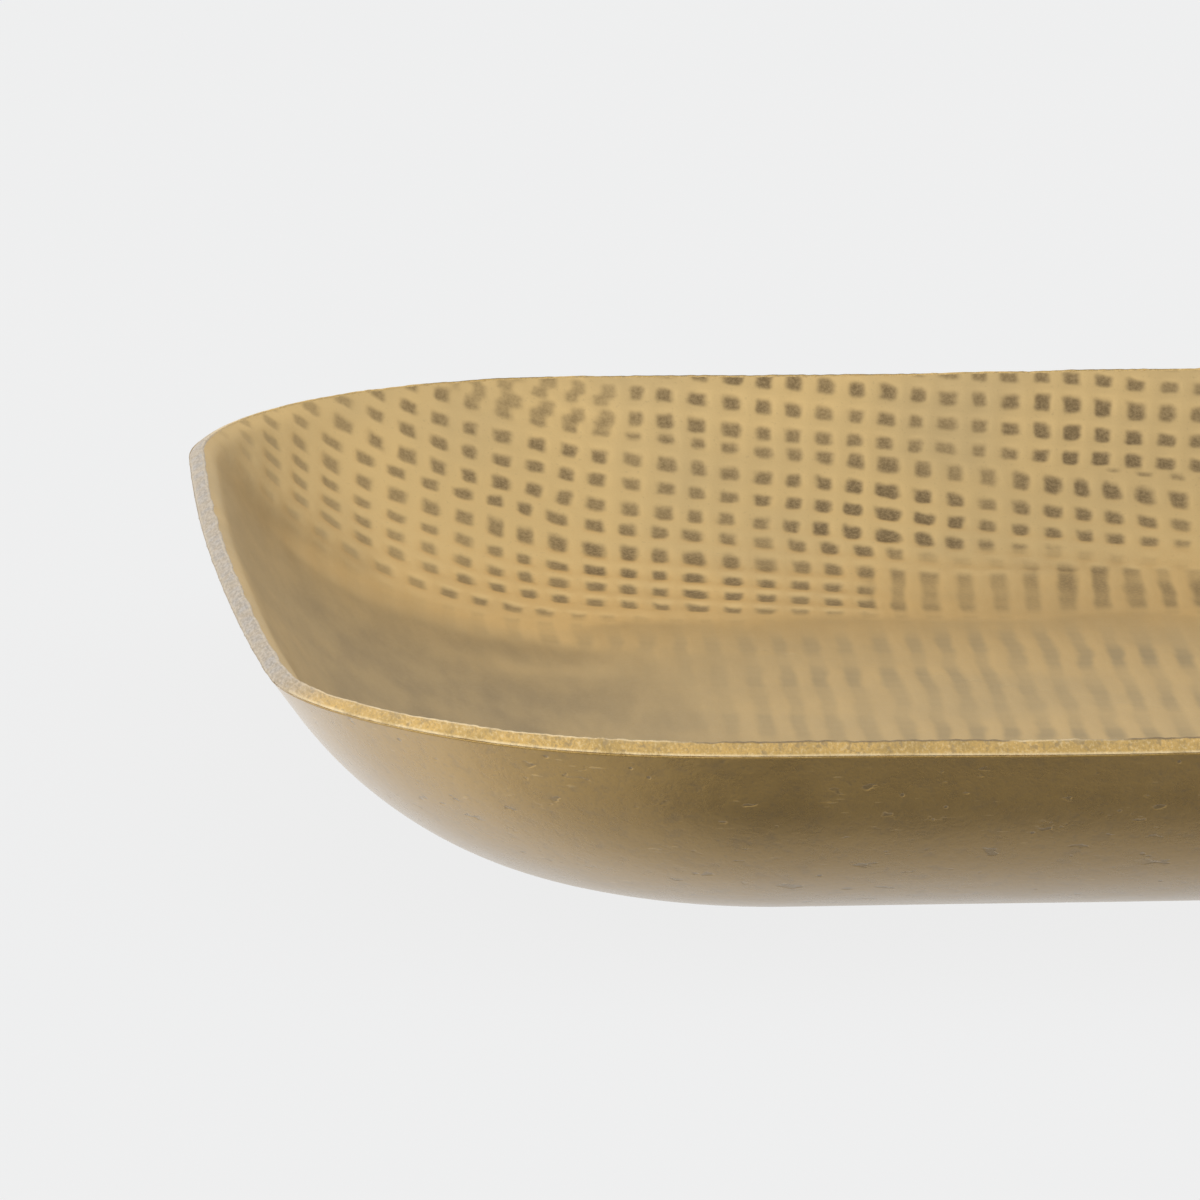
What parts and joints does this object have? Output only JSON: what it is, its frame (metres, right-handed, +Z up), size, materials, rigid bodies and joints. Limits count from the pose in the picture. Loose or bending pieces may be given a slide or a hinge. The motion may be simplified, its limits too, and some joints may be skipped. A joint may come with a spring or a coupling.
{
  "type": "brass tray",
  "caption": "Shallow rounded-rectangle cast brass tray with a flared wall, a ground rim edge and a woven-net pattern cast into its inside, on stick-on felt pads.",
  "frame": {"origin": "on the table plane, under the middle of the tray", "axes": "+X along the tray's length, +Y across its width, +Z up out of the open side"},
  "size_m": [0.4496, 0.3336, 0.0346],
  "materials": {
    "brass": "antique brass, satin, patina in the recesses of the net pattern",
    "felt": "short dense wool felt"
  },
  "bodies": {
    "root": {"tray_casting": "brass", "felt_pad_front_left": "felt", "felt_pad_front_right": "felt", "felt_pad_back_left": "felt", "felt_pad_back_right": "felt"}
  },
  "joints": []
}
